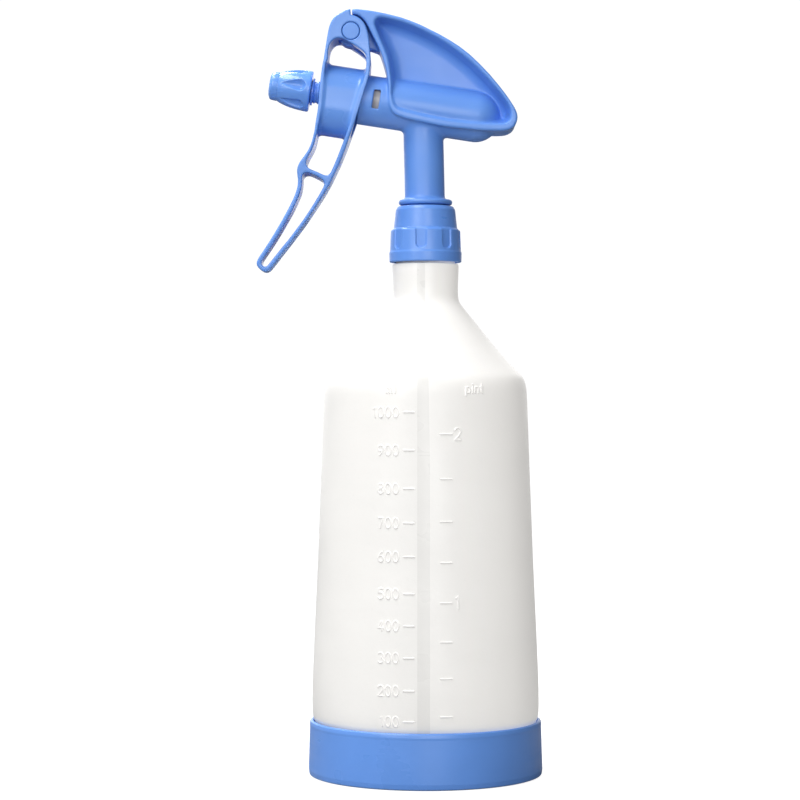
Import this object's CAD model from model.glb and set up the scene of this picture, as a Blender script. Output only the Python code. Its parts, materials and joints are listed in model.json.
"""A trigger spray bottle: white bottle in a blue base cup, blue collar, head, trigger and nozzle.

It stands on z = 0 about the z axis. The barrel sprays towards -X, and the bottle's scales and
level stripe face -Y, towards the camera. Shapes are worked out in millimetres and stored in metres.
"""
import json
import math

import bmesh
import bpy
import numpy as np
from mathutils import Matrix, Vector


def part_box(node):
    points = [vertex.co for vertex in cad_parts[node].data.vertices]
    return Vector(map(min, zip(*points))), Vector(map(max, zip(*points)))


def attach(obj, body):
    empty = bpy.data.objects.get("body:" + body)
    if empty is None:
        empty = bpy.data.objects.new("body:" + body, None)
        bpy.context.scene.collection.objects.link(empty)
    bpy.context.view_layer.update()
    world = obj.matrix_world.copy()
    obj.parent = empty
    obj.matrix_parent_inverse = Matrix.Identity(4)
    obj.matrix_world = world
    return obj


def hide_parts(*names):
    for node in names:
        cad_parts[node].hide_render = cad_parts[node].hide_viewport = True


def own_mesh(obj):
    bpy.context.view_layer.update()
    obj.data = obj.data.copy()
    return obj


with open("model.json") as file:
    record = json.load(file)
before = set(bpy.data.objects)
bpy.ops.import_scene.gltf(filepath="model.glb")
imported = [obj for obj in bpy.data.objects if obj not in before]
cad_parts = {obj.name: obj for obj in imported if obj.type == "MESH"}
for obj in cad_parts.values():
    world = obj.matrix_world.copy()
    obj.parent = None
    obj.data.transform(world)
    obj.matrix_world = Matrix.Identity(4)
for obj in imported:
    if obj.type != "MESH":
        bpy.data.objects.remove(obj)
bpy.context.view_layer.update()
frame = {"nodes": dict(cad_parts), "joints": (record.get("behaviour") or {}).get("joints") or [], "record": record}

import openvdb as vdb
from mathutils import Vector

MM = 0.001

# Sampling steps of the moulded shapes, mm
HEAD_STEP = 0.515
TRIGGER_STEP = HEAD_STEP * 0.85
NOZZLE_STEP = 0.25
COLLAR_STEP = 0.28

# ---------------------------------------------------------------- frame, mm
JOINTS = {joint["name"]: joint for joint in frame["joints"]}
PIVOT = [1000 * c for c in JOINTS["trigger_pivot"]["pos_m"]]
ORIGIN = [1000 * c for c in JOINTS["nozzle_turn"]["pos_m"]]      # barrel frame's origin
BARREL = Vector(JOINTS["nozzle_turn"]["axis"]).normalized()      # forward along the barrel


def box_mm(node):
    low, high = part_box(node)
    return low * 1000, high * 1000


BOTTLE_TOP = box_mm("bottle")[1].z
COLLAR_LOW, COLLAR_HIGH = box_mm("collar_nut")
HEAD_LOW, HEAD_HIGH = box_mm("head_body")
TRIGGER_LOW, TRIGGER_HIGH = box_mm("trigger")


# ---------------------------------------------------------------- 2D curves


def resample(points, step):
    points = np.asarray(points, float)
    lengths = np.hypot(*np.diff(points, axis=0).T)
    travel = np.concatenate([[0], np.cumsum(lengths)])
    count = max(2, int(round(travel[-1] / step)) + 1)
    places = np.linspace(0, travel[-1], count)
    return np.stack([np.interp(places, travel, points[:, i]) for i in (0, 1)], 1)


def bell(reach, step, sigma):
    """Gaussian weights over `reach` samples each way."""
    weights = np.exp(-0.5 * (np.arange(-reach, reach + 1) * step / sigma) ** 2)
    return weights / weights.sum()


def blur(padded, weights):
    return np.stack([np.convolve(padded[:, i], weights, "valid") for i in (0, 1)], 1)


def smooth_run(points, sigma, step=0.3):
    """An open run, smoothed with its ends held."""
    points = resample(points, step)
    if len(points) < 5:
        return points
    reach = min(int(3 * sigma / step), len(points) - 1)
    head = 2 * points[0] - points[1:reach + 1][::-1]
    tail = 2 * points[-1] - points[-reach - 1:-1][::-1]
    return blur(np.concatenate([head, points, tail]), bell(reach, step, sigma))


def smooth_loop(points, sigma, hard_ends=False):
    """A closed outline, smoothed; hard_ends keeps its first and last points as corners."""
    step = 0.3
    if hard_ends:
        runs = (points, [points[-1], points[0]])
        smooth = np.concatenate([smooth_run(run, sigma, step)[:-1] for run in runs])
    else:
        dense = resample(points + [points[0]], step)[:-1]
        reach = min(int(3 * sigma / step), len(dense) - 1)
        padded = np.concatenate([dense[-reach:], dense, dense[:reach]])
        smooth = blur(padded, bell(reach, step, sigma))
    return smooth[::2]


def outline_distance(outline, x, z):
    """Signed distance in mm to a closed outline, negative inside. x and z broadcast."""
    corners = np.asarray(outline, np.float32)
    x, z = np.broadcast_arrays(np.asarray(x, np.float32), np.asarray(z, np.float32))
    shape = x.shape
    x, z = x.ravel(), z.ravel()
    nearest = np.full(x.shape, 1e9, np.float32)
    inside = np.zeros(x.shape, bool)
    for (x0, z0), (x1, z1) in zip(corners, np.roll(corners, -1, 0)):
        run, rise = x1 - x0, z1 - z0
        square = run * run + rise * rise
        if square < 1e-12:
            continue
        from_x, from_z = x - x0, z - z0
        part = np.clip((from_x * run + from_z * rise) / square, 0, 1)
        gap = (from_x - part * run) ** 2 + (from_z - part * rise) ** 2
        np.minimum(nearest, gap, out=nearest)
        if z0 != z1:
            inside ^= ((z0 > z) != (z1 > z)) & (x < run * (z - z0) / rise + x0)
    distance = np.sqrt(nearest)
    return np.where(inside, -distance, distance).reshape(shape)


def rounded(profile):
    """(radius, height, fillet) corners to points, each corner drawn as an arc."""
    points = []
    for i, row in enumerate(profile):
        corner = np.array(row[:2], float)
        fillet = row[2] if len(row) > 2 else 0
        if fillet <= 0 or i in (0, len(profile) - 1):
            points.append(corner)
            continue
        back = np.array(profile[i - 1][:2], float) - corner
        ahead = np.array(profile[i + 1][:2], float) - corner
        back_length, ahead_length = np.linalg.norm(back), np.linalg.norm(ahead)
        back, ahead = back / back_length, ahead / ahead_length
        opening = math.acos(np.clip(back @ ahead, -1, 1))
        if abs(math.pi - opening) < 1e-3:
            points.append(corner)
            continue
        trim = min(fillet / math.tan(opening / 2), back_length * 0.49, ahead_length * 0.49)
        radius = trim * math.tan(opening / 2)
        middle = (back + ahead) / np.linalg.norm(back + ahead)
        centre = corner + middle * radius / math.sin(opening / 2)
        start = math.atan2(*(corner + back * trim - centre)[::-1])
        end = math.atan2(*(corner + ahead * trim - centre)[::-1])
        sweep = (end - start + math.pi) % (2 * math.pi) - math.pi
        count = max(3, int(abs(sweep) / 0.22) + 1)
        for j in range(count + 1):
            angle = start + sweep * j / count
            points.append(centre + radius * np.array([math.cos(angle), math.sin(angle)]))
    return np.array(points)


# ---------------------------------------------------------------- 3D distance fields
# A field is negative inside the solid. np.maximum intersects, np.minimum joins.


def join(a, b, blend):
    """Union with a smooth fillet."""
    overlap = np.maximum(blend - np.abs(a - b), 0) / blend
    return np.minimum(a, b) - overlap * overlap * (blend * 0.25)


def carve(solid, cut, blend):
    """The solid less the cut, with a softened edge."""
    return -join(-solid, cut, blend)


def meet(a, b, radius):
    """Intersection with its outer edge rounded."""
    u, v = a + radius, b + radius
    return np.minimum(np.maximum(u, v), 0) + np.hypot(np.maximum(u, 0), np.maximum(v, 0)) - radius


class Field:
    """A box of samples; x, y, z in mm."""

    def __init__(self, low, high, step):
        self.step, self.low = step, np.array(low, float)
        axes = []
        for i, shape in enumerate(((-1, 1, 1), (1, -1, 1), (1, 1, -1))):
            count = int(math.ceil((high[i] - low[i]) / step)) + 1
            places = low[i] + step * np.arange(count, dtype=np.float32)
            axes.append(places.reshape(shape))
        self.x, self.y, self.z = axes

    def barrel(self):
        """Distance forward along the barrel, and up from its axis."""
        x, z = self.x - ORIGIN[0], self.z - ORIGIN[2]
        return x * BARREL.x + z * BARREL.z, x * BARREL.z - z * BARREL.x

    def from_pivot(self):
        return np.hypot(self.x - PIVOT[0], self.z - PIVOT[2])


def turned_field(profile, field, reach, cells):
    """A profile turned about z, looked up from a table out to radius `reach`."""
    radii = np.linspace(0, reach, cells + 1)
    table = outline_distance(profile, radii.reshape(-1, 1), field.z.ravel().reshape(1, -1))
    place = np.clip(np.hypot(field.x, field.y) / reach * cells, 0, cells - 0.001)
    cell = place.astype(int)
    part = (place - cell).astype(np.float32)
    cell = cell[:, :, 0]
    return table[cell, :] * (1 - part) + table[cell + 1, :] * part


def repeat_round(radius, angle, count, first):
    """Outward and sideways distances from the nearest of `count` even directions."""
    pitch = 2 * math.pi / count
    fold = (angle - math.radians(first) + pitch / 2) % pitch - pitch / 2
    return radius * np.cos(fold), radius * np.sin(fold)


def sample(values, points):
    """Trilinear value at index points."""
    cell = np.clip(np.floor(points).astype(int), 0, np.array(values.shape) - 2)
    x, y, z = cell.T
    part_x, part_y, part_z = np.clip(points - cell, 0, 1).astype(np.float32).T

    def along_x(j, k):
        return values[x, y + j, z + k] * (1 - part_x) + values[x + 1, y + j, z + k] * part_x

    low = along_x(0, 0) * (1 - part_y) + along_x(1, 0) * part_y
    high = along_x(0, 1) * (1 - part_y) + along_x(1, 1) * part_y
    return low * (1 - part_z) + high * part_z


def slope(values, points, reach):
    result = np.empty(points.shape, np.float32)
    for i in range(3):
        offset = np.zeros(3)
        offset[i] = reach
        rise = sample(values, points + offset) - sample(values, points - offset)
        result[:, i] = rise / (2 * reach)
    return result


def add_object(name, mesh):
    piece = bpy.data.objects.new(name, mesh)
    bpy.context.scene.collection.objects.link(piece)
    return piece


def mesh_of(name, field, values):
    """The closed surface where the values are zero, with the field's own normals."""
    size = (field.x.size, field.y.size, field.z.size)
    values = np.ascontiguousarray(np.broadcast_to(values, size), np.float32)
    step = field.step
    grid = vdb.FloatGrid(3 * step)
    grid.copyFromArray(np.clip(values, -3 * step, 3 * step))
    points, tris, quads = grid.convertToPolygons(0.0, 0.0)       # isovalue, adaptivity
    points = points.astype(float)
    for _ in range(2):                       # pull the points onto the zero surface
        normals = slope(values, points, reach=0.6)
        square = (normals ** 2).sum(1)
        square[square < 1e-6] = 1e9
        move = np.clip(sample(values, points) / square, -0.5 * step, 0.5 * step)
        points -= move[:, None] * normals
    normals = slope(values, points, reach=0.75)
    normals /= np.maximum(np.linalg.norm(normals, axis=1), 1e-9)[:, None]

    groups = [group.astype(np.int64) for group in (quads, tris) if len(group)]
    first = groups[0][:, :3]
    a, b, c = (points[first[:, i]] for i in range(3))
    if (np.cross(b - a, c - a) * normals[first[:, 0]]).sum() < 0:
        groups = [group[:, ::-1] for group in groups]
    loops = np.concatenate([group.ravel() for group in groups])
    sizes = np.concatenate([np.full(len(group), group.shape[1]) for group in groups])
    starts = np.concatenate([[0], np.cumsum(sizes)[:-1]])
    metres = (points * step + field.low) * MM

    mesh = bpy.data.meshes.new(name)
    mesh.vertices.add(len(metres))
    mesh.vertices.foreach_set("co", metres.astype(np.float32).ravel())
    mesh.loops.add(len(loops))
    mesh.loops.foreach_set("vertex_index", loops.astype(np.int32))
    mesh.polygons.add(len(sizes))
    mesh.polygons.foreach_set("loop_start", starts.astype(np.int32))
    mesh.update(calc_edges=True)
    mesh.validate()
    mesh.polygons.foreach_set("use_smooth", np.ones(len(mesh.polygons), bool))
    drop_islands(mesh, fewest=200)
    if len(mesh.vertices) == len(metres):    # the normals only fit an untouched mesh
        mesh.normals_split_custom_set_from_vertices(normals.astype(float).tolist())
    return add_object(name, mesh)


def drop_islands(mesh, fewest):
    """Drops stray islands of fewer than `fewest` vertices."""
    edges = np.empty(len(mesh.edges) * 2, np.int32)
    mesh.edges.foreach_get("vertices", edges)
    edges = edges.reshape(-1, 2)
    labels = np.arange(len(mesh.vertices))
    while True:                              # spread the lowest label over each island
        lowest = np.minimum(labels[edges[:, 0]], labels[edges[:, 1]])
        spread = labels.copy()
        np.minimum.at(spread, edges[:, 0], lowest)
        np.minimum.at(spread, edges[:, 1], lowest)
        spread = spread[spread]
        spread = spread[spread]
        if (spread == labels).all():
            break
        labels = spread
    ids, counts = np.unique(labels, return_counts=True)
    small = set(int(i) for i, count in zip(ids, counts) if count < fewest)
    if len(ids) > 1 and small:
        work = bmesh.new()
        work.from_mesh(mesh)
        work.verts.ensure_lookup_table()
        stray = [v for v in work.verts if int(labels[v.index]) in small]
        bmesh.ops.delete(work, geom=stray, context="VERTS")
        work.to_mesh(mesh)
        work.free()


# ---------------------------------------------------------------- plain meshes


def turn_to_barrel(vectors):
    """Vectors as x up, y side, z forward along the barrel, turned to the row frame."""
    x, y, z = vectors.T
    return np.stack([x * BARREL.z + z * BARREL.x, y, z * BARREL.z - x * BARREL.x], 1)


def place_on_barrel(points):
    """Points in the barrel's frame moved to the row frame, mm."""
    return turn_to_barrel(points) + np.array([ORIGIN[0], 0.0, ORIGIN[2]])


def read_points(mesh):
    points = np.empty(len(mesh.vertices) * 3, np.float32)
    mesh.vertices.foreach_get("co", points)
    return points.reshape(-1, 3)


def write_points(mesh, points):
    mesh.vertices.foreach_set("co", points.astype(np.float32).ravel())
    mesh.update()


def build(name, points, faces):
    """A smooth-shaded mesh from points in mm, with outward normals and sharp edges over 40°."""
    mesh = bpy.data.meshes.new(name)
    corners = [tuple(int(i) for i in face) for face in faces]
    mesh.from_pydata((np.asarray(points) * MM).tolist(), [], corners)
    mesh.validate()
    work = bmesh.new()
    work.from_mesh(mesh)
    bmesh.ops.recalc_face_normals(work, faces=work.faces)
    if work.calc_volume(signed=True) < 0:
        bmesh.ops.reverse_faces(work, faces=work.faces)
    work.to_mesh(mesh)
    work.free()
    mesh.polygons.foreach_set("use_smooth", np.ones(len(mesh.polygons), bool))
    mesh.set_sharp_from_angle(angle=math.radians(40))
    return add_object(name, mesh)


def lathe(name, profile, columns, angles=None, along=False, wave=None):
    """Revolves (radius, height) points.

    A profile that starts on the axis also ends there; any other is closed on itself.
    angles(z) places the columns, wave(angles, z, radius) adds to the radius, and along
    turns the piece about the barrel's axis.
    """
    profile = np.asarray(profile, float)
    on_axis = profile[0, 0] < 1e-6
    last = len(profile) - 1
    even = 2 * np.pi * (np.arange(columns) / columns)
    rings = []
    for j, (radius, z) in enumerate(profile):
        if on_axis and j in (0, last):
            rings.append([[0, 0, z]])
            continue
        turn = even if angles is None else angles(z)
        reach = radius if wave is None else radius + wave(turn, z, radius)
        rings.append(np.stack([reach * np.cos(turn), reach * np.sin(turn),
                               np.full(columns, z)], 1))
    start = np.cumsum([0] + [len(ring) for ring in rings])
    pairs = [(j, j + 1) for j in range(last)]
    if not on_axis:
        pairs.append((last, 0))
    faces = []
    for a, b in pairs:
        for i in range(columns):
            k = (i + 1) % columns
            if len(rings[a]) == 1:
                faces.append((start[a], start[b] + k, start[b] + i))
            elif len(rings[b]) == 1:
                faces.append((start[a] + i, start[a] + k, start[b]))
            else:
                faces.append((start[a] + i, start[a] + k, start[b] + k, start[b] + i))
    points = np.concatenate([np.asarray(ring, float) for ring in rings])
    return build(name, place_on_barrel(points) if along else points, faces)


# ---------------------------------------------------------------- head body
# Outlines of the side fin: x, z in mm
FIN_OUTER = [
    (-32.33, 336.78), (-30.58, 336.92), (-27.95, 336.61), (-24.44, 336.17), (-20.06, 335.38),
    (-15.68, 334.42), (-11.3, 333.32), (-6.92, 331.79), (-2.54, 330.04), (1.84, 327.85),
    (6.23, 325.66), (10.61, 323.16), (14.99, 320.31), (19.37, 316.89), (23.75, 312.73),
    (28.13, 308.13), (32.51, 302.87), (34.7, 300.03), (36.89, 296.96), (39.09, 293.45),
    (40.18, 291.04), (40.4, 289.29), (39.96, 287.1), (39.09, 285.35), (37.33, 284.12),
    (35.58, 283.46), (32.51, 283.29), (28.13, 283.33), (23.75, 283.6), (19.37, 284.03),
    (14.99, 284.47), (10.61, 284.91), (6.23, 285.57), (1.84, 286.44), (-2.54, 287.41),
    (-6.92, 288.28), (-11.3, 289.51), (-13.05, 290.17), (-14.81, 291.7), (-15.68, 293.23),
    (-16.25, 295.43), (-16.43, 298.93), (-16.47, 303.31), (-17.0, 308.13), (-17.87, 311.64),
    (-18.97, 315.58), (-20.06, 318.65), (-21.38, 321.49), (-22.69, 323.9), (-24.22, 326.97),
    (-25.54, 329.82), (-26.63, 331.57), (-28.39, 333.32), (-30.14, 334.42), (-32.33, 334.64),
]
FIN_POCKET = [
    (-22.47, 331.79), (-21.82, 332.89), (-20.06, 333.54), (-15.68, 332.67), (-11.3, 331.57),
    (-6.92, 330.04), (-2.54, 328.2), (1.84, 326.09), (6.23, 323.68), (10.61, 320.97),
    (14.99, 317.77), (19.37, 314.26), (23.75, 310.1), (28.13, 305.5), (32.51, 300.46),
    (34.7, 297.62), (36.46, 294.99), (37.33, 292.8), (37.55, 290.61), (37.33, 288.42),
    (35.58, 286.66), (32.51, 286.53), (28.13, 286.53), (19.37, 287.01), (10.61, 287.98),
    (1.84, 289.6), (-6.92, 291.7), (-11.3, 292.8), (-13.05, 293.67), (-14.15, 295.43),
    (-15.02, 298.93), (-15.02, 303.31), (-15.68, 309.88), (-16.56, 315.14), (-17.87, 318.65),
    (-19.41, 322.15), (-20.94, 325.66), (-22.25, 329.16), (-22.69, 330.91),
]
PIVOT_ARM = [
    (-18.1, 318.3), (-20.4, 318.7), (-23.8, 319.9), (-31.5, 321.4), (-34.0, 332.8),
    (-28.6, 334.8), (-23.2, 335.0), (-22.9, 331.0), (-22.5, 329.2), (-21.2, 325.7),
    (-19.7, 322.2),
]
FIN_HALF = 12.0                              # half thickness across y
POCKET_FLOOR = 2.2                           # y where the side pockets end
BARREL_RADIUS, BARREL_BACK, BARREL_FRONT = 11.1, -70.9, -8.2     # ends along the barrel
BARREL_BORE, BORE_BACK = 9.3, -58.5
STEM_RADIUS, STEM_TOP = 8.85, 289
STEM_BORES = ((5.0, 263.0), (3.2, 269.6), (1.6, 296.0))          # radius, top
ARM_HALF, ARM_EYE = 4.6, 5.9                 # half thickness, radius round the pivot
HEAD_PIN_HOLE = 4.0
SLOT_FORWARD, SLOT_WIDTH, SLOT_HEIGHT, SLOT_FLOOR = -15.6, 2.9, 8.2, 6.0


def make_head():
    field = Field((-39.4, -12.7, HEAD_LOW.z - 0.7), (41.4, 12.7, HEAD_HIGH.z + 0.8), HEAD_STEP)
    x, y, z = field.x, np.abs(field.y), field.z
    forward, up = field.barrel()
    from_barrel = np.hypot(up, y)
    from_stem = np.hypot(x, y)

    # fin with drafted pockets in both sides
    outer = outline_distance(smooth_loop(FIN_OUTER, 0.9, hard_ends=True), x, z)
    pocket = outline_distance(smooth_loop(FIN_POCKET, 0.9), x, z)
    draft = (FIN_HALF - y) * 0.26
    web = join(-(pocket + draft), y - POCKET_FLOOR, 3.6)
    head = np.maximum(meet(outer, y - FIN_HALF, 0.95), meet(web, y - FIN_HALF, 0.8))

    # barrel, round at its back end
    barrel = meet(from_barrel - BARREL_RADIUS, BARREL_BACK - forward, 11.0)
    head = join(head, meet(barrel, forward - BARREL_FRONT, 0.5), 1.0)

    # stem, leaning a touch towards -X as it rises, and two rings at its foot
    lean = 0.25 + np.clip(z - 254.0, 0, 35) * 0.024
    stem = np.maximum(np.hypot(x + lean, y) - STEM_RADIUS, z - STEM_TOP)
    head = join(head, np.maximum(stem, HEAD_LOW.z - z), 1.8)
    head = join(head, meet(from_stem - 11.9, np.abs(z - 252.72) - 1.22, 1.15), 1.7)
    head = np.minimum(head, meet(from_stem - 11.75, np.abs(z - 245.1) - 2.75, 0.4))

    # arm that holds the pivot pin
    arm = np.minimum(outline_distance(PIVOT_ARM, x, z), field.from_pivot() - ARM_EYE)
    head = join(head, meet(arm, y - ARM_HALF, 0.5), 1.2)

    # bores, pin hole and the slots in the barrel's sides
    head = carve(head, np.maximum(from_barrel - BARREL_BORE, BORE_BACK - forward), 0.5)
    for radius, top in STEM_BORES:
        head = carve(head, np.maximum(from_stem - radius, z - top), 0.4)
    head = carve(head, field.from_pivot() - HEAD_PIN_HOLE, 0.4)
    slot = np.maximum(np.abs(forward - SLOT_FORWARD) - SLOT_WIDTH / 2,
                      np.abs(up) - SLOT_HEIGHT / 2)
    head = carve(head, np.maximum(slot, SLOT_FLOOR - y), 0.5)
    return mesh_of("spray_head_shell", field, head)


# ---------------------------------------------------------------- trigger
# Outlines seen from the side: x, z in mm
TRIGGER_OUTER = [
    (-33.05, 336.74), (-35.17, 336.4), (-36.7, 335.44), (-38.45, 334.43), (-39.77, 333.64),
    (-40.86, 332.46), (-41.74, 330.84), (-42.39, 329.09), (-42.92, 326.46), (-43.4, 323.83),
    (-43.79, 321.2), (-44.36, 317.7), (-44.89, 314.2), (-45.46, 311.57), (-45.9, 308.06),
    (-46.2, 305.44), (-46.55, 301.06), (-46.9, 296.68), (-47.21, 293.18), (-47.74, 290.11),
    (-48.31, 287.04), (-48.74, 283.54), (-49.41, 280.94), (-50.08, 278.34), (-51.18, 275.74),
    (-52.51, 273.57), (-53.83, 271.84), (-55.15, 270.1), (-56.03, 268.58), (-56.48, 267.06),
    (-56.62, 265.76), (-56.41, 264.02), (-56.15, 262.28), (-56.16, 260.54), (-56.43, 258.8),
    (-56.96, 257.06), (-57.63, 255.11), (-58.74, 252.71), (-60.29, 249.66), (-62.06, 246.39),
    (-64.06, 242.9), (-66.28, 239.19), (-68.72, 235.26), (-71.16, 231.54), (-73.14, 228.68),
    (-74.24, 226.92), (-74.68, 225.38), (-74.24, 224.06), (-73.14, 222.96), (-72.04, 222.08),
    (-70.5, 221.64), (-69.18, 222.17), (-68.52, 222.83), (-67.64, 223.84), (-65.44, 226.7),
    (-62.8, 230.22), (-59.7, 234.17), (-56.61, 238.32), (-53.51, 242.46), (-50.41, 247.05),
    (-47.76, 250.97), (-45.56, 254.45), (-43.57, 257.72), (-42.02, 260.54), (-40.7, 263.15),
    (-39.38, 265.98), (-38.05, 268.8), (-36.73, 271.84), (-35.41, 275.09), (-34.3, 278.13),
    (-33.2, 281.38), (-32.54, 283.11), (-31.44, 286.17), (-30.57, 288.8), (-29.69, 291.86),
    (-28.6, 295.36), (-27.5, 298.87), (-26.5, 301.93), (-25.53, 305.0), (-24.74, 307.63),
    (-24.22, 311.57), (-24.09, 315.07), (-24.31, 317.7), (-24.57, 320.33), (-24.79, 322.95),
    (-25.18, 325.58), (-25.75, 327.77), (-26.41, 329.52), (-27.28, 331.06), (-28.38, 332.24),
    (-29.69, 333.25), (-31.01, 333.82), (-32.95, 334.25),
]
# Upper opening: over the top, down the back, round the bottom and up the front
TRIGGER_OPENING = [
    (-42.83, 314.2), (-42.83, 317.7), (-42.39, 320.33), (-41.74, 321.86), (-40.86, 323.04),
    (-39.77, 323.83), (-38.45, 324.14), (-36.7, 323.96), (-34.95, 323.17), (-33.2, 322.08),
    (-31.01, 320.76), (-28.82, 319.23), (-27.5, 318.22), (-26.63, 317.26), (-26.06, 315.95),
    (-26.06, 313.32), (-26.19, 309.82), (-26.85, 307.19), (-27.94, 303.69), (-29.04, 300.18),
    (-30.13, 296.68), (-31.23, 293.18), (-32.32, 289.67), (-33.42, 286.17), (-34.51, 283.1),
    (-35.61, 280.04), (-36.48, 277.85), (-36.27, 278.34), (-36.94, 276.61), (-38.04, 273.79),
    (-39.36, 270.54), (-40.69, 267.5), (-41.79, 265.11), (-42.67, 264.02), (-43.77, 263.8),
    (-45.08, 264.24), (-47.27, 265.33), (-49.46, 266.19), (-51.22, 266.93), (-52.31, 267.93),
    (-52.6, 269.6), (-52.45, 270.3), (-51.3, 272.8), (-49.8, 275.3), (-48.6, 278.3),
    (-47.43, 283.54), (-46.55, 287.92), (-45.9, 292.3), (-45.46, 296.68), (-45.02, 301.06),
    (-44.58, 305.44), (-44.14, 309.82), (-43.71, 313.32),
]
LOWER_OPENING = [
    (-54.3, 263.59), (-53.86, 264.67), (-52.98, 265.2), (-51.66, 265.33), (-50.35, 264.89),
    (-48.6, 264.02), (-46.84, 263.15), (-45.53, 262.28), (-44.66, 261.2), (-44.44, 259.89),
    (-45.1, 258.59), (-46.43, 256.19), (-48.64, 252.49), (-51.29, 248.35), (-53.94, 244.43),
    (-57.04, 240.28), (-60.13, 236.22), (-63.68, 231.98), (-66.32, 228.68), (-68.3, 226.26),
    (-69.62, 224.5), (-70.5, 223.84), (-71.6, 224.19), (-72.26, 224.94), (-72.48, 225.6),
    (-72.04, 226.7), (-70.28, 229.34), (-68.07, 232.64), (-65.85, 236.13), (-63.64, 239.85),
    (-61.42, 243.77), (-59.42, 247.26), (-57.65, 250.75), (-56.32, 253.58), (-55.21, 256.41),
    (-54.54, 258.8), (-54.31, 261.2),
]
# Region behind the front wall that is hollowed round the barrel
BEHIND_WALL = [
    (-43.7, 316), (-44.1, 309.8), (-44.6, 305.4), (-45.0, 301.1), (-45.5, 296.7),
    (-45.9, 292.3), (-46.5, 287.9), (-47.0, 279.6), (-47.2, 276), (-15, 276), (-15, 316),
]
ARM_SLOT = [
    (-39.4, 326.2), (-38.9, 331.2), (-36.6, 333.3), (-33.4, 333.9), (-32.6, 340), (-20, 340),
    (-20, 308), (-25.5, 315), (-31.5, 319.4), (-36.6, 321.6),
]
# (height, half width) of the trigger
TRIGGER_WIDTHS = ((221, 6.6), (246, 9.2), (266, 10.4), (276, 11.6), (286, 13.15), (306, 13.15),
                  (316, 12.35), (340, 12.35))
SHROUD_OUTER, SHROUD_INNER = 12.62, 11.52    # radii of the hood round the barrel
LUG_ORIGIN_UP, LUG_LEAN_FORWARD = 27.6, 5.5  # the lugs' line, above and ahead of the barrel
LUG_Y = 8.0
TRIGGER_PIN_HOLE = 3.98


def trigger_half_width(z):
    """Half width at heights z, with the kinks of the table blurred."""
    step, reach = 0.25, 40
    heights = np.linspace(215, 345, 521)
    widths = np.interp(heights, *zip(*TRIGGER_WIDTHS))
    widths = np.convolve(np.pad(widths, reach, mode="edge"), bell(reach, step, 3.5), "valid")
    return np.interp(z.ravel(), heights, widths).astype(np.float32).reshape(1, 1, -1)


def make_trigger():
    low = (TRIGGER_LOW.x - 0.9, -13.9, TRIGGER_LOW.z - 0.9)
    high = (TRIGGER_HIGH.x + 0.9, 13.9, TRIGGER_HIGH.z + 0.8)
    field = Field(low, high, TRIGGER_STEP)
    x, y, z = field.x, np.abs(field.y), field.z
    forward, up = field.barrel()

    outer = outline_distance(smooth_loop(TRIGGER_OUTER, 0.8, hard_ends=True), x, z)
    opening = outline_distance(smooth_loop(TRIGGER_OPENING, 0.7), x, z)
    lower = outline_distance(smooth_loop(LOWER_OPENING, 0.6), x, z)
    plan = np.maximum(np.maximum(outer, -opening), -lower)
    trigger = meet(plan, y - trigger_half_width(z), 0.6)

    # hood round the barrel, its section stretched up and down
    from_core = np.hypot(up - np.clip(up, -5.85, 0.45), y)
    span = np.maximum(outer + 0.25, np.maximum(forward - 12, -22 - forward))
    hood = np.maximum(from_core - SHROUD_OUTER, span)
    trigger = np.maximum(join(trigger, hood, 2.4), outer)
    behind = outline_distance(BEHIND_WALL, x, z)
    trigger = carve(trigger, np.maximum(from_core - SHROUD_INNER, behind), 0.5)

    # lugs for the yoke, each with a slot
    tilt = math.atan2(LUG_LEAN_FORWARD, LUG_ORIGIN_UP)
    down = LUG_ORIGIN_UP - up
    along = down * math.cos(tilt) + forward * math.sin(tilt)
    off = forward * math.cos(tilt) - down * math.sin(tilt)
    side = np.maximum(np.abs(along - 28.0) - 4.6, np.maximum(-3.0 - off, off - 4.4))
    lug = meet(side, np.abs(y - LUG_Y) - 1.0, 0.3)
    trigger = np.minimum(trigger, np.maximum(lug, outer + 0.4))
    lug_slot = np.maximum(np.abs(along - 27.9) - 2.0, np.abs(off) - 1.72)
    trigger = carve(trigger, np.maximum(lug_slot, np.abs(y - LUG_Y) - 1.6), 0.3)

    # opening for the rod, slot for the head's arm, hole for the pin
    rod_hole = np.hypot(up - np.clip(up, 0, 2.0), y) - 5.6
    trigger = carve(trigger, np.maximum(rod_hole, 6.8 - forward), 0.7)
    trigger = carve(trigger, np.maximum(outline_distance(ARM_SLOT, x, z), y - 5.0), 0.5)
    trigger = carve(trigger, field.from_pivot() - TRIGGER_PIN_HOLE, 0.35)
    return mesh_of("squeeze_trigger", field, trigger)


# ---------------------------------------------------------------- nozzle and collar
NOZZLE_TIP = 32.28                           # along the barrel
# (radius, depth behind the tip, fillet), then (radius, place along the barrel)
NOZZLE_OUTSIDE = (
    (0.45, 0, 0), (4.6, 0, 0.5), (5.9, 0.75, 0.8), (6.25, 1.6, 0.8), (6.42, 3.7, 0.15),
    (6.18, 3.95, 0.15), (6.5, 4.3, 0.3), (7.1, 5.6, 3), (7.8, 7.9, 4), (8.3, 10, 5),
    (8.7, 12.5, 5), (8.92, 14.5, 5), (9.05, 17.0, 1), (9.0, 18.5, 0.7), (5.35, 18.5, 0.3),
)
NOZZLE_INSIDE = [(5.35, 26.4), (4.4, 27.0), (4.4, 30.8), (1.2, 30.8), (0.45, 31.5)]
# Grip scoops: each end's (radius, depth behind the tip) and the scoop's growth
SCOOP_FRONT, SCOOP_BACK = (7.15, 4.0), (9.75, 13.3)
SCOOP_RADIUS, SCOOP_GROWTH = 0.2, 2.75


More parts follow.
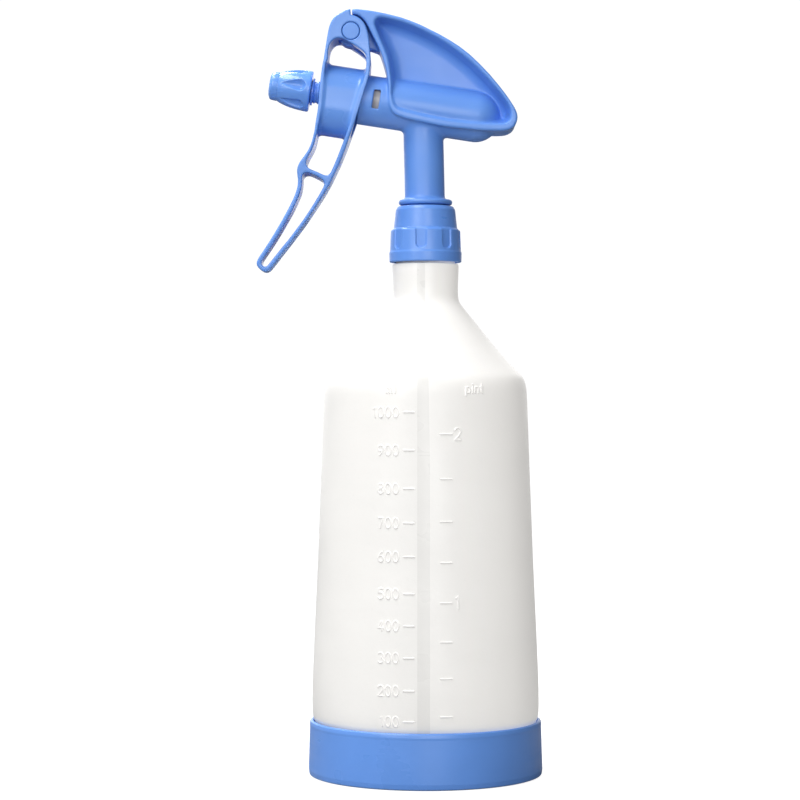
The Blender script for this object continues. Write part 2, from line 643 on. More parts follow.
def make_nozzle():
    outside = [(radius, NOZZLE_TIP - depth, fillet) for radius, depth, fillet in NOZZLE_OUTSIDE]
    field = Field((-9.8, -9.8, 13.2), (9.8, 9.8, 32.9), NOZZLE_STEP)
    nozzle = turned_field(rounded(outside + NOZZLE_INSIDE), field, reach=14.2, cells=284)

    radius = np.hypot(field.x, field.y)
    angle = np.arctan2(field.y, field.x)
    outward, sideways = repeat_round(radius, angle, count=6, first=-82)
    r0, z0 = SCOOP_FRONT[0], NOZZLE_TIP - SCOOP_FRONT[1]
    r1, z1 = SCOOP_BACK[0], NOZZLE_TIP - SCOOP_BACK[1]
    square = (r1 - r0) ** 2 + (z1 - z0) ** 2
    part = np.clip(((outward - r0) * (r1 - r0) + (field.z - z0) * (z1 - z0)) / square, 0, 1)
    off_r = outward - r0 - part * (r1 - r0)
    off_z = field.z - z0 - part * (z1 - z0)
    from_line = np.sqrt(off_r ** 2 + sideways ** 2 + off_z ** 2)
    scoop = from_line - (SCOOP_RADIUS + SCOOP_GROWTH * part)
    piece = mesh_of("nozzle_shell", field, carve(nozzle, scoop, 0.25))
    turn_mesh(piece.data)
    return piece


def turn_mesh(mesh):
    """From the barrel's frame to the row frame, with the stored normals."""
    corner_normals = np.empty(len(mesh.loops) * 3, np.float32)
    mesh.corner_normals.foreach_get("vector", corner_normals)
    owners = np.empty(len(mesh.loops), np.int32)
    mesh.loops.foreach_get("vertex_index", owners)
    normals = np.zeros((len(mesh.vertices), 3))
    normals[owners] = corner_normals.reshape(-1, 3)
    write_points(mesh, place_on_barrel(read_points(mesh).astype(float) * 1000) * MM)
    mesh.normals_split_custom_set_from_vertices(turn_to_barrel(normals).tolist())


def make_collar():
    bottom, top = COLLAR_LOW.z, COLLAR_HIGH.z
    profile = rounded([                      # radius, height, fillet
        (14.05, bottom, 0.3), (15.95, bottom, 0.5), (16.05, bottom + 4.3, 0.3),
        (15.72, bottom + 4.9, 0.3), (15.4, bottom + 14.0, 0.7), (14.05, bottom + 15.0, 0.5),
        (13.15, bottom + 23.2, 1.2), (12.2, top, 0.9), (9.5, top, 0.4), (9.5, 248.3),
        (12.25, 248.3), (12.4, 241.0), (14.05, 239.8)])
    field = Field((-16.7, -16.7, bottom - 0.8), (16.7, 16.7, top + 0.8), COLLAR_STEP)
    collar = turned_field(profile, field, reach=24, cells=480)

    # eight round-ended flutes, open at the top
    radius = np.hypot(field.x, field.y)
    angle = np.arctan2(field.x, -field.y)
    outward, sideways = repeat_round(radius, angle, count=8, first=-8)
    flute = np.maximum(meet(np.abs(sideways) - 2.2, 232.0 - field.z, 1.9), 14.72 - outward)
    return mesh_of("collar_nut_shell", field, carve(collar, flute, 0.55))


# ---------------------------------------------------------------- bottle
LOWER_RADIUS = 48.9                          # the part inside the cup
WALL_THICKNESS = 1.2
BOTTLE_COLUMNS, STRIPE_COLUMNS = 192, 6
# (radius, height)
BOTTLE_BASE = [
    (0, 3.3), (38, 3.3), (41, 3.1), (43.2, 2.3), (44.6, 2.1), (46.2, 2.3), (47.6, 3.2),
    (48.5, 4.7), (LOWER_RADIUS, 6.8), (LOWER_RADIUS, 15),
]
BOTTLE_SIDE = [
    (LOWER_RADIUS, 23.7), (49.45, 24.5), (49.85, 25.7), (50.08, 28.5), (50.1, 33), (49.95, 41),
    (49.2, 59), (48.35, 77), (47.55, 94.6), (46.9, 112.4), (46.22, 130), (45.62, 148),
    (45.3, 157), (45.02, 165.3), (44.9, 168), (44.68, 170.5), (44.2, 172.8), (43.4, 174.9),
    (42.2, 176.6), (40.8, 178.0), (37.7, 181.3), (34.5, 184.8), (31.2, 188.4), (28.2, 192.1),
    (25.6, 195.3), (22.8, 198.8), (19.9, 202.4), (17.7, 205.0), (16.2, 206.9), (15.2, 208.2),
    (14.7, 209.5), (14.42, 211.3), (14.38, 213), (14.48, 218), (14.68, 222), (14.74, 224.4),
]
NECK_FOOT = [(14.6, 225.2), (14.1, 225.5), (13.1, 225.6), (12.95, 226.0)]
NECK_RIDGES = (229.0, 234.0)
RIDGE = ((12.95, -1.0), (13.6, -0.55), (13.7, -0.3), (13.7, 0.3), (13.6, 0.55), (12.95, 1.0))
INNER_HEIGHTS = (212, 209.6, 207.4, 204.5, 199, 192, 184, 178.5, 175, 172.5, 168, 150, 112, 77,
                 40, 30, 26.5)
INNER_NECK = [(11.4, 225.5), (12.4, 222.5), (12.9, 221)]
INNER_FLOOR = [(47.7, 24), (47.7, 7), (46.2, 4.9), (43, 3.9), (39, 4.8), (0, 4.8)]
# (height, lower x edge, upper x edge) of the level stripe on the -Y side
STRIPE = ((24, -4.0, 1.4), (140, -4.0, 1.4), (165, -4.0, 1.05), (175, -3.95, 0.8),
          (207, -3.85, -0.25), (230, -3.85, -0.4))


def smooth_side():
    points = smooth_run(BOTTLE_SIDE, 0.9, 0.25)
    keep = [0]
    for i in range(1, len(points) - 1):      # thin out the straight stretches
        a, b = points[i] - points[keep[-1]], points[i + 1] - points[i]
        turn = abs(math.atan2(a[0] * b[1] - a[1] * b[0], a @ b))
        if turn > 0.035 or np.hypot(*a) > 4.0:
            keep.append(i)
    return points[keep + [len(points) - 1]]


SIDE = smooth_side()


def wall(z):
    """Outer radius of the bottle at height z."""
    return np.interp(z, SIDE[:, 1], SIDE[:, 0])


def stripe_edges(z):
    heights, lower, upper = zip(*STRIPE)
    return np.interp(z, heights, lower), np.interp(z, heights, upper)


def bottle_angles(z):
    """Column angles: the first few span the stripe, the rest share the way round."""
    radius = float(wall(z)) if z > 20 else LOWER_RADIUS
    start, end = (-math.pi / 2 + math.asin(x / radius) for x in stripe_edges(z))
    i = np.arange(BOTTLE_COLUMNS)
    in_stripe = start + (end - start) * i / STRIPE_COLUMNS
    rest = 2 * math.pi - (end - start)
    others = end + rest * (i - STRIPE_COLUMNS) / (BOTTLE_COLUMNS - STRIPE_COLUMNS)
    return np.where(i < STRIPE_COLUMNS, in_stripe, others)


def make_bottle():
    top = BOTTLE_TOP
    outer = BOTTLE_BASE + [tuple(point) for point in SIDE] + NECK_FOOT
    for middle in NECK_RIDGES:
        outer += [(radius, middle + offset) for radius, offset in RIDGE]
    outer += [(12.95, top - 0.4), (12.7, top), (11.6, top), (11.4, top - 0.3)]
    inner = list(INNER_NECK)
    for z in INNER_HEIGHTS:                  # thicker over the sloping shoulder
        slant = 1.6 if 174 < z < 209 else 1.15
        inner.append((float(wall(z)) - WALL_THICKNESS * slant, z))
    profile = np.array(outer + inner + INNER_FLOOR)
    return lathe("bottle_shell", profile, BOTTLE_COLUMNS, angles=bottle_angles)


def stripe_slots(mesh):
    """Material slot of each face: 1 on the stripe, 0 elsewhere."""
    points = read_points(mesh) * 1000
    slots = np.zeros(len(mesh.polygons), np.int32)
    for face in mesh.polygons:
        x, y, z = points[list(face.vertices)].mean(0)
        if z < 23 or z > 226 or y > 0 or math.hypot(x, y) < wall(z) - 0.7:
            continue
        lower, upper = stripe_edges(z)
        if lower - 0.05 < x < upper + 0.05:
            slots[face.index] = 1
    return slots


# ---------------------------------------------------------------- scales on the bottle
# Heights of the strokes
MILLILITRE_Z = [160.1, 143.9, 127.6, 113.0, 98.7, 83.0, 69.4, 55.9, 42.0, 29.0]
PINT_Z = [150.8, 131.7, 113.6, 96.2, 79.2, 62.6, 47.2, 31.1]
BEAD_HALF = 0.42                             # half width of every raised line
STROKE_RISE, LETTER_RISE = 0.36, 0.34


def arc(x, y, radius_x, radius_y, start, end, count=14):
    turns = [math.radians(start + (end - start) * i / count) for i in range(count + 1)]
    return [(x + radius_x * math.cos(a), y + radius_y * math.sin(a)) for a in turns]


GLYPHS = {   # strokes in a box 0.6 wide and 1 high
    "0": [arc(0.3, 0.5, 0.27, 0.5, 90, 450, 26)],
    "1": [[(0.16, 0.82), (0.34, 1.0), (0.34, 0.0)]],
    "2": [arc(0.3, 0.73, 0.26, 0.27, 170, -20, 12) + [(0.44, 0.45), (0.04, 0.0), (0.58, 0.0)]],
    "3": [arc(0.29, 0.755, 0.24, 0.245, 150, -80, 12)
          + arc(0.28, 0.26, 0.28, 0.26, 85, -150, 14)],
    "4": [[(0.44, 0.0), (0.44, 1.0), (0.02, 0.3), (0.6, 0.3)]],
    "5": [[(0.54, 1.0), (0.12, 1.0), (0.08, 0.56)] + arc(0.28, 0.32, 0.29, 0.32, 110, -150, 16)],
    "6": [[(0.46, 1.0), (0.2, 0.72)] + arc(0.3, 0.3, 0.27, 0.3, 150, 510, 24)],
    "7": [[(0.04, 1.0), (0.56, 1.0), (0.22, 0.0)]],
    "8": [arc(0.3, 0.76, 0.22, 0.24, 0, 360, 20), arc(0.3, 0.26, 0.27, 0.26, 0, 360, 22)],
    "9": [[(0.14, 0.0), (0.4, 0.28)] + arc(0.3, 0.7, 0.27, 0.3, -30, 330, 24)],
    "m": [[(0.05, 0.0), (0.05, 0.62)],
          arc(0.2, 0.42, 0.15, 0.2, 180, 0, 8) + [(0.35, 0.0)],
          arc(0.5, 0.42, 0.15, 0.2, 180, 0, 8) + [(0.65, 0.0)]],
    "l": [[(0.2, 0.0), (0.2, 1.0)]],
    "p": [[(0.05, -0.28), (0.05, 0.62)], arc(0.28, 0.31, 0.23, 0.31, 0, 360, 20)],
    "i": [[(0.12, 0.0), (0.12, 0.62)], [(0.12, 0.84), (0.12, 0.9)]],
    "n": [[(0.05, 0.0), (0.05, 0.62)], arc(0.26, 0.4, 0.21, 0.22, 180, 0, 10) + [(0.47, 0.0)]],
    "t": [[(0.2, 0.9), (0.2, 0.12), (0.3, 0.0), (0.4, 0.02)], [(0.04, 0.62), (0.38, 0.62)]],
}
ADVANCE = {"m": 0.86, "l": 0.34, "i": 0.3, "t": 0.46, "n": 0.64, "p": 0.68, "1": 0.66}


def advance(letter):
    return ADVANCE.get(letter, 0.78)


def on_wall(place, lift):
    """A point (x along the wall, z), wrapped on the bottle and lifted off it."""
    radius = wall(place[1])
    angle = place[0] / radius
    return (radius + lift) * math.sin(angle), -(radius + lift) * math.cos(angle), place[1]


def bead(path, rise, vertices, faces):
    """A low rounded bead along a path of (x along the wall, z)."""
    points = np.asarray(resample(path, 0.28), float)
    ahead = np.gradient(points, axis=0)
    ahead /= np.maximum(np.hypot(ahead[:, 0], ahead[:, 1]), 1e-9)[:, None]
    normals = np.stack([-ahead[:, 1], ahead[:, 0]], 1)
    section = [(math.cos(a), math.sin(a)) for a in np.linspace(0, math.pi, 7)]
    section += [(-1.0, -0.8), (1.0, -0.8)]   # foot, sunk in the wall
    base, count = len(vertices), len(section)
    closed = np.hypot(*(points[0] - points[-1])) < 0.05
    rows = len(points) - 1 if closed else len(points)
    for j in range(rows):
        for across, height in section:
            lift = rise * height if height > 0 else 0.45 * height
            vertices.append(on_wall(points[j] + normals[j] * across * BEAD_HALF, lift))
    for j in range(rows if closed else rows - 1):
        a, b = base + j * count, base + ((j + 1) % rows) * count
        for i in range(count):
            k = (i + 1) % count
            faces.append((a + i, a + k, b + k, b + i))
    if not closed:                           # pointed caps
        for j, sign in ((0, -1), (rows - 1, 1)):
            vertices.append(on_wall(points[j] + ahead[j] * sign * BEAD_HALF * 0.8, rise * 0.1))
            tip, row = len(vertices) - 1, base + j * count
            for i in range(count):
                faces.append((row + i, row + (i + 1) % count, tip))


def word(text, left, base, height, vertices, faces):
    for letter in text:
        for stroke in GLYPHS[letter]:
            path = [(left + x * height, base + z * height) for x, z in stroke]
            bead(path, LETTER_RISE, vertices, faces)
        left += advance(letter) * height


def make_millilitres():
    height, right = 4.35, -11.2              # numerals end at `right`
    shape = ([], [])
    for value, z in zip(range(1000, 0, -100), MILLILITRE_Z):
        text = str(value)
        bead([(-9.9, z), (-5.2, z)], STROKE_RISE, *shape)
        word(text, right - sum(advance(letter) for letter in text) * height, z - 2.2, height,
             *shape)
    word("ml", -17.6, 168.2, 3.9, *shape)
    return build("scale_millilitres", *shape)


def make_pints():
    shape = ([], [])
    for z in PINT_Z:
        bead([(5.8, z), (11.0, z)], STROKE_RISE, *shape)
    word("2", 11.9, PINT_Z[0] - 2.6, 5.2, *shape)
    word("1", 11.7, PINT_Z[4] - 2.8, 5.6, *shape)
    word("pint", 17.0, 168.3, 4.3, *shape)
    return build("scale_pints", *shape)


# ---------------------------------------------------------------- smaller pieces
THREAD_RADIUS = 4.6
# (place along the barrel, run) where the rod's thread fades out
THREAD_FADES = ((7.4, 0.5), (12.5, 0.5), (13.5, 0.5), (23.8, 0.8))
SPRING_BACK, SPRING_LENGTH = -57.2, 29.8     # along the barrel
SPRING_RADIUS, WIRE_RADIUS = 5.3, 0.5


def make_cup():
    profile = rounded([                      # radius, height, fillet
        (0, 1.9), (36, 1.9, 2), (43.4, 1.5, 1), (45.2, 0.3, 0.6), (46.4, 0.0, 0.4),
        (50.4, 0.0, 0.6), (51.4, 0.35, 0.7), (51.7, 2.6, 2.5), (51.3, 16.0, 20),
        (51.12, 21.2, 0.5), (51.2, 22.2, 0.5), (51.0, 23.7, 0.6), (50.3, 24.2, 0.5),
        (49.65, 24.05, 0.3), (49.25, 23.2, 0.4), (49.25, 5.2, 1.5), (47.9, 3.45, 1),
        (44, 3.2, 1), (40, 3.0, 1), (0, 3.0)])
    profile[:, 1] = np.maximum(profile[:, 1], 0.0)
    return lathe("base_cup_shell", profile, 192)


def make_pin():
    profile = rounded([(0, -12.3), (3.35, -12.3, 0.2), (3.8, -12.0, 0.3), (3.8, -4.9, 0.1),
                       (3.8, 4.9, 0.1), (3.8, 12.0, 0.3), (3.35, 12.3, 0.2), (0, 12.3)])
    piece = lathe("pivot_pin", profile, 64)
    x, y, z = read_points(piece.data).T
    write_points(piece.data, np.stack([x + PIVOT[0] * MM, z, -y + PIVOT[2] * MM], 1))
    return piece


def thread_wave(turn, z, radius):
    """Height of the helical thread, on the thread's own rows only."""
    if radius != THREAD_RADIUS:
        return 0.0
    phase = (z / 2.0 - turn / (2 * np.pi)) % 1.0
    fade = min(1.0, *(abs(z - end) / run for end, run in THREAD_FADES))
    return np.clip(1.75 - np.abs(phase - 0.5) * 5.2, 0, 1) * 0.4 * fade


def make_rod():
    rows = [(2.2, 26.5), (2.2, -26.3), (2.5, -26.6), (3.1, -26.6), (3.4, -26.3), (3.4, -19.9),
            (3.6, -19.7), (4.3, -19.7), (4.5, -19.5), (4.5, 2.9), (4.35, 3.1), (3.9, 3.1),
            (3.9, 7.35), (THREAD_RADIUS, 7.4)]
    rows += [(THREAD_RADIUS, z) for z in np.arange(7.6, 12.45, 0.2)]
    rows += [(THREAD_RADIUS, 12.5), (4.7, 12.6), (5.85, 12.6), (6.0, 12.75), (6.0, 13.25),
             (5.85, 13.4), (4.7, 13.4), (THREAD_RADIUS, 13.5)]
    rows += [(THREAD_RADIUS, z) for z in np.arange(13.7, 23.75, 0.2)]
    rows += [(THREAD_RADIUS, 23.8), (4.3, 24.0), (4.3, 26.2), (4.0, 26.5)]
    return lathe("piston_rod_threaded", rows, 72, wave=thread_wave, along=True)


def make_liner():
    profile = rounded([(7.62, -57.6), (8.75, -57.6, 0.2), (8.95, -57.3, 0.2),
                       (8.95, -13.4, 0.3), (8.6, -13.1, 0.2), (7.8, -13.1, 0.15),
                       (7.62, -13.4, 0.1)])
    return lathe("cylinder_liner_shell", profile, 96, along=True)


def make_spring():
    turns, flat = 6.0, 0.75                  # open turns, closed turns at each end
    steps, sides = 420, 12
    vertices, faces = [], []
    for i in range(steps + 1):
        turn = i / steps * (turns + 2 * flat)
        angle = 2 * math.pi * turn
        rise = min(max((turn - flat) / turns, 0.0), 1.0)
        z = SPRING_BACK + WIRE_RADIUS + (SPRING_LENGTH - 2 * WIRE_RADIUS) * rise
        outward = np.array([math.cos(angle), math.sin(angle), 0.0])
        centre = SPRING_RADIUS * outward + np.array([0.0, 0.0, z])
        for k in range(sides):
            around = 2 * math.pi * k / sides
            offset = outward * math.cos(around) + np.array([0.0, 0.0, math.sin(around)])
            vertices.append(centre + WIRE_RADIUS * offset)
    for i in range(steps):
        a, b = i * sides, (i + 1) * sides
        for j in range(sides):
            k = (j + 1) % sides
            faces.append((a + j, a + k, b + k, b + j))
    faces.append(tuple(range(sides)))
    faces.append(tuple(steps * sides + k for k in reversed(range(sides))))
    return build("return_spring_coil", place_on_barrel(np.array(vertices)), faces)


# ---------------------------------------------------------------- node helpers


class Graph:
    """Short ways to add nodes to a tree."""

    def __init__(self, tree):
        self.tree = tree

    def add(self, kind, **settings):
        node = self.tree.nodes.new(kind)
        for key, value in settings.items():
            setattr(node, key, value)
        return node

    def feed(self, socket, value):
        """Links an output to the socket, or sets the socket's value."""
        if hasattr(value, "is_output"):
            self.tree.links.new(value, socket)
        else:
            socket.default_value = value

    def remap(self, value, to, span=(0.3, 0.7)):
        """Maps the span of the value onto the range `to`, clamped."""
        node = self.add("ShaderNodeMapRange")
        node.inputs["From Min"].default_value, node.inputs["From Max"].default_value = span
        node.inputs["To Min"].default_value, node.inputs["To Max"].default_value = to
        self.feed(node.inputs["Value"], value)
        return node.outputs["Result"]

    def math(self, kind, a, b):
        node = self.add("ShaderNodeMath", operation=kind)
        self.feed(node.inputs[0], a)
        self.feed(node.inputs[1], b)
        return node.outputs[0]


class Surface(Graph):
    """A new material, with its Principled shader and object coordinates."""

    def __init__(self, name):
        self.material = bpy.data.materials.new(name)
        self.material.use_nodes = True
        super().__init__(self.material.node_tree)
        self.shader = self.tree.nodes["Principled BSDF"]
        self.coordinates = self.add("ShaderNodeTexCoord").outputs["Object"]

    def set(self, **values):
        """Feeds shader inputs, an underscore standing for a space."""
        for key, value in values.items():
            self.feed(self.shader.inputs[key.replace("_", " ")], value)

    def noise(self, scale, detail=3.0, roughness=0.5, stretch=None):
        source = self.coordinates
        if stretch:
            mapping = self.add("ShaderNodeMapping")
            mapping.inputs["Scale"].default_value = stretch
            self.feed(mapping.inputs["Vector"], source)
            source = mapping.outputs["Vector"]
        node = self.add("ShaderNodeTexNoise")
        node.inputs["Scale"].default_value = scale
        node.inputs["Detail"].default_value = detail
        node.inputs["Roughness"].default_value = roughness
        self.feed(node.inputs["Vector"], source)
        return node.outputs["Fac"]

    def mix(self, factor, a, b):
        """Mixes two colours, each an output or an (r, g, b)."""
        node = self.add("ShaderNodeMix", data_type="RGBA")
        self.feed(node.inputs[0], factor)
        for i, colour in ((6, a), (7, b)):
            self.feed(node.inputs[i], colour if hasattr(colour, "is_output") else (*colour, 1))
        return node.outputs[2]

    def not_a_lamp(self):
        """The glow is only seen, and isn't sampled as a lamp."""
        if hasattr(self.material, "cycles"):     # present only when Cycles is enabled
            self.material.cycles.emission_sampling = "NONE"


# ---------------------------------------------------------------- materials


def light_through(surface):
    """A thin translucent wall: the side away from the key is lit through the bottle."""
    geometry = surface.add("ShaderNodeNewGeometry")
    normal = surface.add("ShaderNodeSeparateXYZ")
    surface.feed(normal.inputs[0], geometry.outputs["Normal"])
    side = surface.remap(normal.outputs["X"], to=(0.0, 0.26), span=(-0.05, 0.75))
    cloud = surface.remap(surface.noise(scale=30), to=(0.96, 1.0))
    surface.set(Emission_Color=(1.0, 0.968, 0.925, 1),
                Emission_Strength=surface.math("MULTIPLY", side, cloud))
    surface.not_a_lamp()


def moulded(name, colour, roughness, grain, wear, spread, subsurface=0.0, lit_through=False):
    """Moulded plastic: colour drift, fine grain, flow marks, and handling marks in the gloss."""
    surface = Surface(name)
    noise, remap = surface.noise, surface.remap
    colour = np.array(colour)

    def shade(factor):
        return tuple(np.clip(colour * factor, 0, 1))

    drift = remap(noise(scale=26, roughness=0.55), to=(0.0, 1.0), span=(0.32, 0.68))
    tint = surface.mix(drift, shade(1 - spread), shade(1 + spread))
    flow = noise(scale=50, detail=2, stretch=(0.35, 0.35, 1.8))
    tint = surface.mix(remap(flow, to=(0.0, 0.2), span=(0.4, 0.8)), tint, shade(0.9))
    speck = remap(noise(scale=650, detail=1), to=(0.0, 0.05), span=(0.66, 0.8))
    tint = surface.mix(speck, tint, shade(0.62))
    if lit_through:
        light_through(surface)

    swing = 0.05 * (1 + wear)
    gloss = remap(noise(scale=45, detail=2), to=(roughness - swing, roughness + swing))
    scratch = noise(scale=240, detail=2, stretch=(0.08, 0.08, 1.0))
    scratch = remap(scratch, to=(0.0, 0.10 * wear), span=(0.5, 0.75))
    surface.set(Base_Color=tint, Roughness=surface.math("ADD", gloss, scratch), IOR=1.55)
    if subsurface:
        surface.set(Subsurface_Weight=subsurface, Subsurface_Radius=(1.0, 0.95, 0.9),
                    Subsurface_Scale=0.0015)

    fine = surface.math("MULTIPLY", noise(scale=1300, detail=1), 0.2)
    coarse = surface.math("MULTIPLY", noise(scale=420, detail=2), 0.8)
    height = surface.math("ADD", fine, coarse)
    bump = surface.add("ShaderNodeBump")
    geometry = surface.add("ShaderNodeNewGeometry")
    facing = surface.add("ShaderNodeVectorMath", operation="DOT_PRODUCT")
    surface.feed(facing.inputs[0], geometry.outputs["Normal"])
    surface.feed(facing.inputs[1], geometry.outputs["Incoming"])
    # the grain fades at a grazing view
    strength = remap(facing.outputs["Value"], to=(grain * 0.1, grain), span=(0.05, 0.45))
    surface.feed(bump.inputs["Strength"], strength)
    bump.inputs["Distance"].default_value = 0.0006
    surface.feed(bump.inputs["Height"], height)
    surface.set(Normal=bump.outputs["Normal"])
    return surface.material


def spring_wire(name):
    surface = Surface(name)
    tint = surface.mix(surface.noise(scale=300), (0.52, 0.53, 0.55), (0.68, 0.68, 0.69))
    surface.set(Base_Color=tint, Metallic=1.0,
                Roughness=surface.remap(surface.noise(scale=900), to=(0.2, 0.42)))
    bump = surface.add("ShaderNodeBump")
    bump.inputs["Strength"].default_value = 0.06
    bump.inputs["Distance"].default_value = 0.0002
    surface.feed(bump.inputs["Height"], surface.noise(scale=3500, detail=1))
    surface.set(Normal=bump.outputs["Normal"])
    return surface.material


# name: colour, roughness, grain, wear, colour spread, subsurface weight, lit through
PLASTICS = {
    "blue_head": ((0.122, 0.298, 0.77), 0.40, 0.045, 0.6, 0.035, 0.12),
    "blue_trigger": ((0.125, 0.3, 0.765), 0.30, 0.05, 0.8, 0.04, 0.1),
    "blue_nozzle": ((0.125, 0.3, 0.76), 0.20, 0.03, 0.8, 0.035, 0.1),
    "blue_collar": ((0.122, 0.296, 0.77), 0.34, 0.045, 0.8, 0.035, 0.1),
    "blue_cup": ((0.12, 0.294, 0.755), 0.31, 0.05, 0.9, 0.045),
    "white_bottle": ((0.868, 0.856, 0.832), 0.36, 0.08, 0.6, 0.012, 0.0, True),
    "level_stripe": ((0.79, 0.78, 0.757), 0.30, 0.05, 0.5, 0.015, 0.0, True),
    "scale_marks": ((0.872, 0.86, 0.838), 0.33, 0.05, 0.4, 0.012, 0.0, True),
    "natural_plastic": ((0.62, 0.6, 0.56), 0.3, 0.04, 0.5, 0.04),
    "liner_plastic": ((0.36, 0.35, 0.36), 0.22, 0.03, 0.6, 0.06),
    "tube_plastic": ((0.7, 0.71, 0.7), 0.28, 0.04, 0.3, 0.03),
    "grey_plastic": ((0.34, 0.35, 0.37), 0.4, 0.05, 0.5, 0.06),
    "seal_rubber": ((0.045, 0.045, 0.05), 0.55, 0.09, 0.5, 0.12),
}
MATERIALS = {name: moulded(name, *row) for name, row in PLASTICS.items()}
MATERIALS["spring_steel"] = spring_wire("spring_steel")

# ---------------------------------------------------------------- assembly


def dress(piece, materials, body, stands_for=None):
    piece.data.materials.clear()
    for name in materials:
        piece.data.materials.append(MATERIALS[name])
    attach(piece, body)
    if stands_for:
        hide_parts(stands_for)


bottle = make_bottle()
bottle_slots = stripe_slots(bottle.data)
dress(bottle, ["white_bottle", "level_stripe"], "bottle", "bottle")
bottle.data.polygons.foreach_set("material_index", bottle_slots)
dress(make_cup(), ["blue_cup"], "bottle", "base_cup")
scales = [make_millilitres(), make_pints()]
for scale in scales:
    dress(scale, ["scale_marks"], "bottle")

# maker, material, body, slot, CAD part it stands for
for make, material, body, slot, part in (
        (make_collar, "blue_collar", "collar", "blue_plastic", "collar_nut"),
        (make_head, "blue_head", "head", "blue_plastic", "head_body"),
        (make_trigger, "blue_trigger", "trigger", "blue_plastic", "trigger"),
        (make_nozzle, "blue_nozzle", "nozzle", "blue_plastic", "nozzle_cap"),
        (make_pin, "blue_head", "head", "blue_plastic", "trigger_pivot_pin"),
        (make_rod, "blue_nozzle", "plunger", "blue_plastic", "piston_rod"),
        (make_liner, "liner_plastic", "head", "natural_plastic", "cylinder_liner")):
    dress(make(), [material], body, part)

spring = make_spring()
dress(spring, ["spring_steel"], "head", "return_spring")
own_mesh(spring)

# CAD parts shown as they are: finish and softened edges only
NODE_MATERIALS = {
    "neck_gasket": "seal_rubber", "rod_seal": "seal_rubber", "piston_seal_front": "seal_rubber",
    "piston_seal_rear": "seal_rubber", "nozzle_o_ring": "seal_rubber",
    "dip_tube": "tube_plastic",
}
SLOT_MATERIALS = {
    "blue_plastic": "blue_head", "bottle_plastic": "white_bottle",
    "natural_plastic": "natural_plastic", "tube_plastic": "tube_plastic",
    "grey_plastic": "grey_plastic", "seal_rubber": "seal_rubber", "steel": "spring_steel",
}


def finish_cad_parts():
    part_slots = {}
    for part in frame["record"].get("parts", []):
        if isinstance(part, dict):
            slot = part.get("material_slot") or part.get("slot")
            part_slots[part.get("node") or part.get("name")] = slot
    for name, node in sorted(frame["nodes"].items()):
        if node.hide_render:
            continue
        materials = node.data.materials
        own = materials[0].name.split(".")[0] if len(materials) and materials[0] else ""
        by_slot = SLOT_MATERIALS.get(part_slots.get(name) or own, "natural_plastic")
        materials.clear()
        materials.append(MATERIALS[NODE_MATERIALS.get(name, by_slot)])
        bevel = node.modifiers.new("edges", "BEVEL")
        bevel.width = 0.00012
        bevel.segments = 2
        bevel.limit_method = "ANGLE"
        bevel.angle_limit = math.radians(35)
        bevel.use_clamp_overlap = True


finish_cad_parts()

# ---------------------------------------------------------------- floor, light, camera
FLOOR_GLOW = 0.9                             # emission seen by the camera
FLOOR_BOUNCE = 0.22                          # colour seen by every other ray


def make_floor():
    count = 24
    points = [(-3000 + 6000 * i / count, -2500 + 7500 * j / count, -0.15)
              for j in range(count + 1) for i in range(count + 1)]
    faces = []
    for j in range(count):
        for i in range(count):
            a = j * (count + 1) + i
            faces.append((a, a + 1, a + count + 2, a + count + 1))
    floor = build("pale_floor", points, faces)

    surface = Surface("pale_floor_surface")
    seen = surface.add("ShaderNodeLightPath").outputs["Is Camera Ray"]
    pale = surface.mix(surface.noise(scale=3, detail=4), (0.33,) * 3, (0.36,) * 3)
    surface.set(Base_Color=surface.mix(seen, (FLOOR_BOUNCE,) * 3, pale))
    rough = surface.remap(surface.noise(scale=7, detail=4), to=(0.75, 0.9))
    surface.set(Roughness=rough, Specular_IOR_Level=0.0, Emission_Color=(1, 1, 1, 1),
                Emission_Strength=surface.remap(seen, to=(0.0, FLOOR_GLOW), span=(0.0, 1.0)))
    surface.not_a_lamp()
    floor.data.materials.append(surface.material)


def softbox(name, at, aim, size, power, spread=math.pi):
    light = bpy.data.lights.new(name, "AREA")
    light.shape = "RECTANGLE"
    light.size, light.size_y = size
    light.energy = power
    light.spread = spread
    lamp = bpy.data.objects.new(name, light)
    lamp.location = at
    lamp.rotation_euler = (Vector(aim) - Vector(at)).to_track_quat("-Z", "Y").to_euler()
    bpy.context.scene.collection.objects.link(lamp)


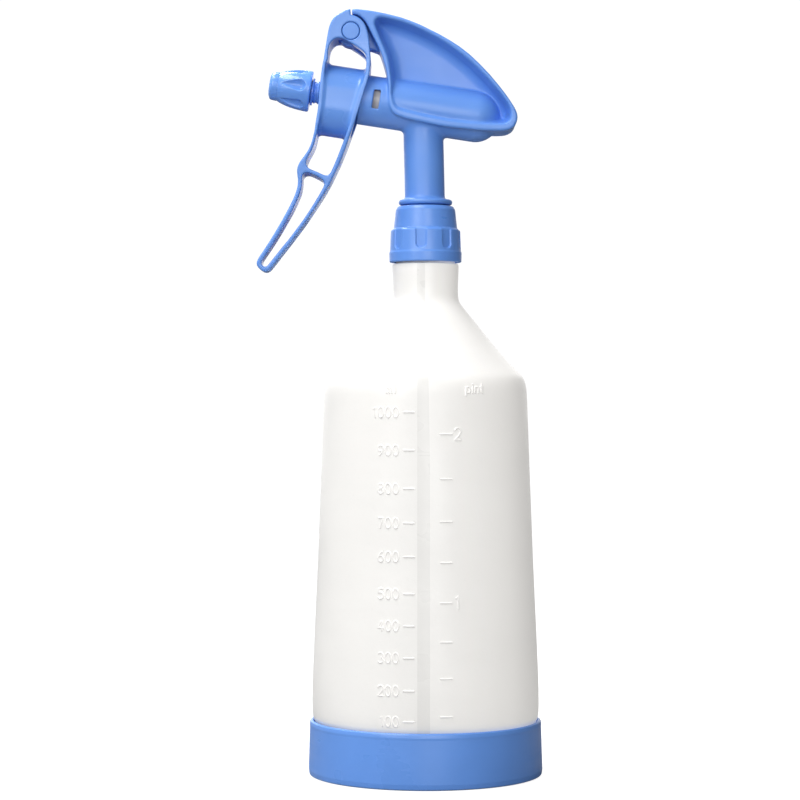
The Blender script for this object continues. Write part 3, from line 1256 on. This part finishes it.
def make_world():
    """Plain white to the camera; to other rays, a soft gradient and a lit backdrop at +Y."""
    world = bpy.data.worlds.new("studio")
    bpy.context.scene.world = world
    world.use_nodes = True
    world.node_tree.nodes.clear()
    graph = Graph(world.node_tree)
    output = graph.add("ShaderNodeOutputWorld")
    white = graph.add("ShaderNodeBackground")
    white.inputs["Strength"].default_value = 1.05
    studio = graph.add("ShaderNodeBackground")
    for background in (white, studio):
        background.inputs["Color"].default_value = (1, 1, 1, 1)
    coordinates = graph.add("ShaderNodeTexCoord")
    direction = graph.add("ShaderNodeSeparateXYZ")
    graph.feed(direction.inputs[0], coordinates.outputs["Generated"])
    x, y, z = (direction.outputs[axis] for axis in "XYZ")

    side = graph.remap(x, to=(0.6, 0.2), span=(-1.0, 1.0))
    up = graph.remap(z, to=(0.6, 1.2), span=(-0.2, 1.0))
    ambient = graph.math("MULTIPLY", side, up)
    backdrop = graph.remap(y, to=(0.0, 1.4), span=(0.68, 0.97))
    fade = graph.remap(x, to=(1.0, 0.2), span=(-0.1, 0.6))
    backdrop = graph.math("MULTIPLY", backdrop, fade)
    graph.feed(studio.inputs["Strength"], graph.math("ADD", ambient, backdrop))

    path = graph.add("ShaderNodeLightPath")
    choice = graph.add("ShaderNodeMixShader")
    graph.feed(choice.inputs[0], path.outputs["Is Camera Ray"])
    graph.feed(choice.inputs[1], studio.outputs[0])
    graph.feed(choice.inputs[2], white.outputs[0])
    graph.feed(output.inputs["Surface"], choice.outputs["Shader"])


def make_camera():
    camera = bpy.data.cameras.new("camera")
    camera.lens = 110.9
    camera.sensor_width = 36.0
    camera.clip_start = 0.05
    mount = add_object("camera", camera)
    mount.location = (-0.0113, -1.092, 0.1653)
    mount.rotation_euler = (math.pi / 2, 0, 0)
    bpy.context.scene.camera = mount


make_floor()
softbox("key_left", at=(-0.8, -1.25, 0.8), aim=(0, 0, 0.25), size=(0.8, 1.0), power=10.6)
softbox("front_fill", at=(0.2, -1.7, 0.5), aim=(0, 0, 0.2), size=(0.8, 0.75), power=8.6)
softbox("top", at=(-0.4, -0.12, 1.17), aim=(-0.03, 0, 0.28), size=(0.85, 0.4), power=8.5)
softbox("left_rim", at=(-1.1, 0.4, 0.5), aim=(0, 0, 0.26), size=(0.5, 0.9), power=0.5)
softbox("back_top", at=(-0.3, 0.45, 1.1), aim=(-0.03, 0, 0.29), size=(0.4, 0.3), power=1.3,
        spread=1.2)
make_world()
make_camera()
bpy.context.scene.view_settings.view_transform = "Standard"
bpy.context.scene.view_settings.look = "None"
